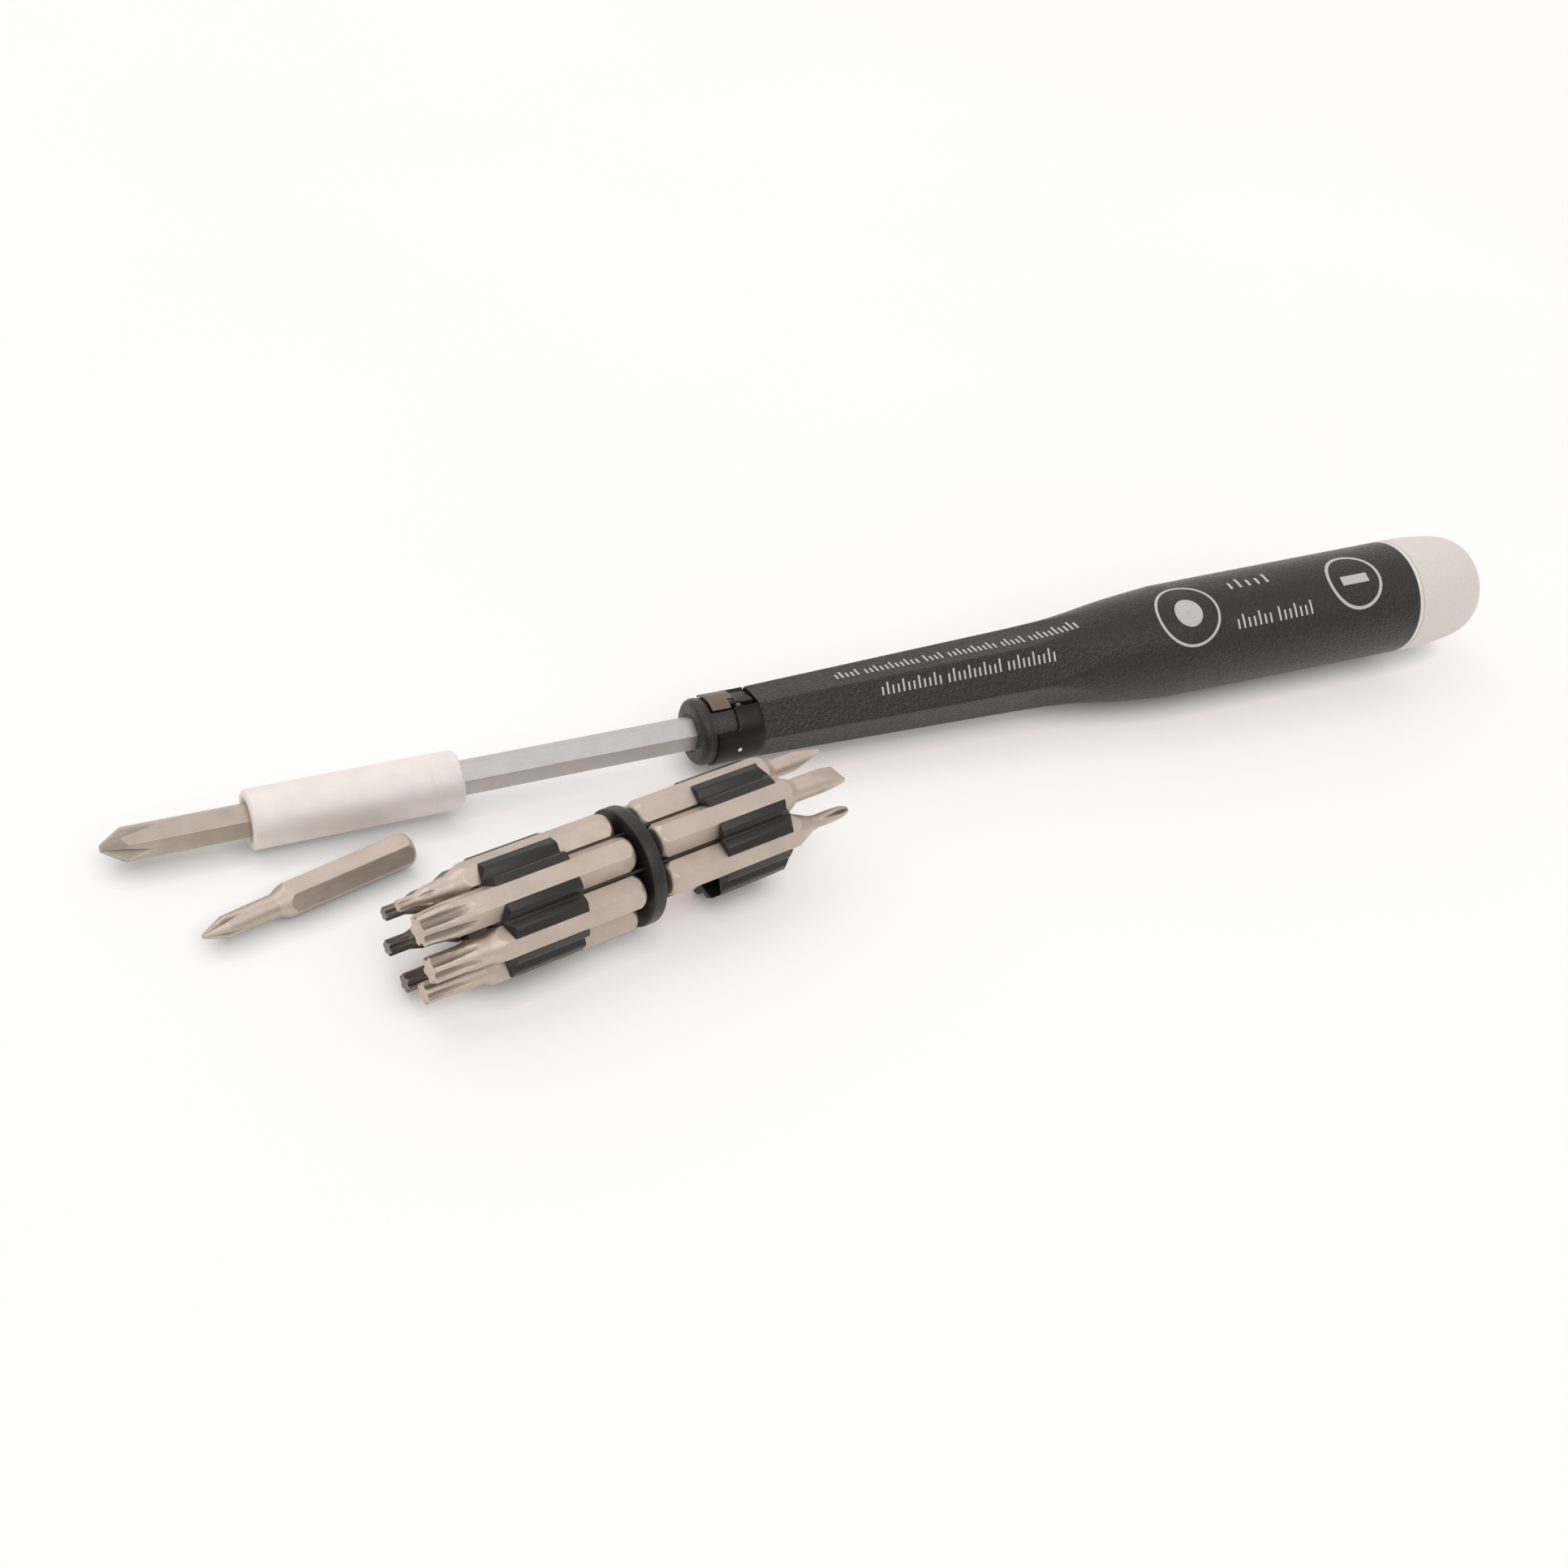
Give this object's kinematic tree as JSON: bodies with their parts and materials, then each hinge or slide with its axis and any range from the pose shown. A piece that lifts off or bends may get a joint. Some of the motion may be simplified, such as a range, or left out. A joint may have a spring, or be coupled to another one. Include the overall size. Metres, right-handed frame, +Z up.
{
  "type": "precision screwdriver set",
  "caption": "Precision screwdriver with a sliding hexagonal blade, a bit sleeve and a hollow handle, lying beside a spare cross bit and the rack of bits that the handle stores.",
  "frame": {"origin": "on the surface that the set lies on, under the middle of its bounding box", "axes": "+X along the driver from its tip towards its cap, +Y away from the rack towards the driver, +Z up"},
  "size_m": [0.2054, 0.0427, 0.0181],
  "materials": {
    "handle_plastic": "fine-grained satin black",
    "cap_plastic": "satin pearl grey",
    "ring_plastic": "smooth white",
    "nose_coating": "matt black",
    "band_steel": "dark bronze",
    "rivet_steel": "polished",
    "lever_steel": "satin bronze",
    "pin_steel": "ground",
    "spring_steel": "as rolled",
    "blade_steel": "satin nickel",
    "sleeve_steel": "satin nickel",
    "magnet": "nickel plated",
    "bit_steel": "warm satin nickel",
    "rack_plastic": "satin black"
  },
  "bodies": {
    "handle": {"handle_body": "handle_plastic", "nose_piece": "nose_coating", "clip_band": "band_steel", "band_rivets": "rivet_steel", "lever_pin": "pin_steel", "lever_spring": "spring_steel"},
    "cap_ring": {"cap_ring": "ring_plastic"},
    "cap": {"end_cap": "cap_plastic"},
    "lever": {"release_lever": "lever_steel"},
    "clamp": {"clamp_pin": "pin_steel"},
    "blade": {"hex_blade": "blade_steel", "bit_sleeve": "sleeve_steel", "socket_magnet": "magnet"},
    "fitted_bit": {"fitted_cross_bit": "bit_steel"},
    "rack": {"bit_rack": "rack_plastic"},
    "loose_bit": {"loose_cross_bit": "bit_steel"},
    "star_bit_5": {"star_bit_5": "bit_steel"},
    "star_bit_6": {"star_bit_6": "bit_steel"},
    "star_bit_7": {"star_bit_7": "bit_steel"},
    "star_bit_8": {"star_bit_8": "bit_steel"},
    "star_bit_10": {"star_bit_10": "bit_steel"},
    "star_bit_15": {"star_bit_15": "bit_steel"},
    "star_bit_20": {"star_bit_20": "bit_steel"},
    "slot_bit_30": {"slot_bit_30": "bit_steel"},
    "slot_bit_15": {"slot_bit_15": "bit_steel"},
    "slot_bit_20": {"slot_bit_20": "bit_steel"},
    "slot_bit_25": {"slot_bit_25": "bit_steel"},
    "fine_cross_bit": {"fine_cross_bit": "bit_steel"}
  },
  "joints": [
    {"name": "cap_pull", "type": "slide", "parent": "handle", "child": "cap_ring", "axis": [0.9995, 0, 0.0328], "range_m": [0, 0.03]},
    {"name": "cap_spin", "type": "hinge", "parent": "cap_ring", "child": "cap", "pos_m": [0.09249, 0.0126, 0.00955], "axis": [0.9995, 0, 0.0328], "continuous": true},
    {"name": "blade_slide", "type": "slide", "parent": "handle", "child": "blade", "axis": [0.9995, 0, 0.0328], "range_m": [0, 0.03]},
    {"name": "fitted_bit_pull", "type": "slide", "parent": "blade", "child": "fitted_bit", "axis": [-0.9995, 0, -0.0328], "range_m": [0, 0.012]},
    {"name": "lever_press", "type": "hinge", "parent": "handle", "child": "lever", "pos_m": [-0.02145, 0.01365, 0.00905], "axis": [-0.0101, -0.9511, 0.3089], "range_deg": [0, 4], "stiffness_Nm_per_rad": 0.05},
    {"name": "clamp_lift", "type": "slide", "parent": "handle", "child": "clamp", "axis": [-0.0312, 0.309, 0.9505], "range_m": [0, 0.00012]},
    {"name": "rack_lift", "type": "slide", "parent": "handle", "child": "rack", "axis": [0, 0, 1], "range_m": [0, 0.03]},
    {"name": "loose_bit_lift", "type": "slide", "parent": "handle", "child": "loose_bit", "axis": [0, 0, 1], "range_m": [0, 0.03]},
    {"name": "star_bit_5_pull", "type": "slide", "parent": "rack", "child": "star_bit_5", "axis": [-0.9819, -0.1891, -0.0076], "range_m": [0, 0.02]},
    {"name": "star_bit_6_pull", "type": "slide", "parent": "rack", "child": "star_bit_6", "axis": [-0.9819, -0.1891, -0.0076], "range_m": [0, 0.02]},
    {"name": "star_bit_7_pull", "type": "slide", "parent": "rack", "child": "star_bit_7", "axis": [-0.9819, -0.1891, -0.0076], "range_m": [0, 0.02]},
    {"name": "star_bit_8_pull", "type": "slide", "parent": "rack", "child": "star_bit_8", "axis": [-0.9819, -0.1891, -0.0076], "range_m": [0, 0.02]},
    {"name": "star_bit_10_pull", "type": "slide", "parent": "rack", "child": "star_bit_10", "axis": [-0.9819, -0.1891, -0.0076], "range_m": [0, 0.02]},
    {"name": "star_bit_15_pull", "type": "slide", "parent": "rack", "child": "star_bit_15", "axis": [-0.9819, -0.1891, -0.0076], "range_m": [0, 0.02]},
    {"name": "star_bit_20_pull", "type": "slide", "parent": "rack", "child": "star_bit_20", "axis": [-0.9819, -0.1891, -0.0076], "range_m": [0, 0.02]},
    {"name": "slot_bit_30_pull", "type": "slide", "parent": "rack", "child": "slot_bit_30", "axis": [0.9819, 0.1891, 0.0076], "range_m": [0, 0.02]},
    {"name": "slot_bit_15_pull", "type": "slide", "parent": "rack", "child": "slot_bit_15", "axis": [0.9819, 0.1891, 0.0076], "range_m": [0, 0.02]},
    {"name": "slot_bit_20_pull", "type": "slide", "parent": "rack", "child": "slot_bit_20", "axis": [0.9819, 0.1891, 0.0076], "range_m": [0, 0.02]},
    {"name": "slot_bit_25_pull", "type": "slide", "parent": "rack", "child": "slot_bit_25", "axis": [0.9819, 0.1891, 0.0076], "range_m": [0, 0.02]},
    {"name": "fine_cross_bit_pull", "type": "slide", "parent": "rack", "child": "fine_cross_bit", "axis": [0.9819, 0.1891, 0.0076], "range_m": [0, 0.02]}
  ],
  "couplings": [
    {"joint": "clamp_lift", "follows": "lever_press", "m_per_rad": 0.0015}
  ]
}
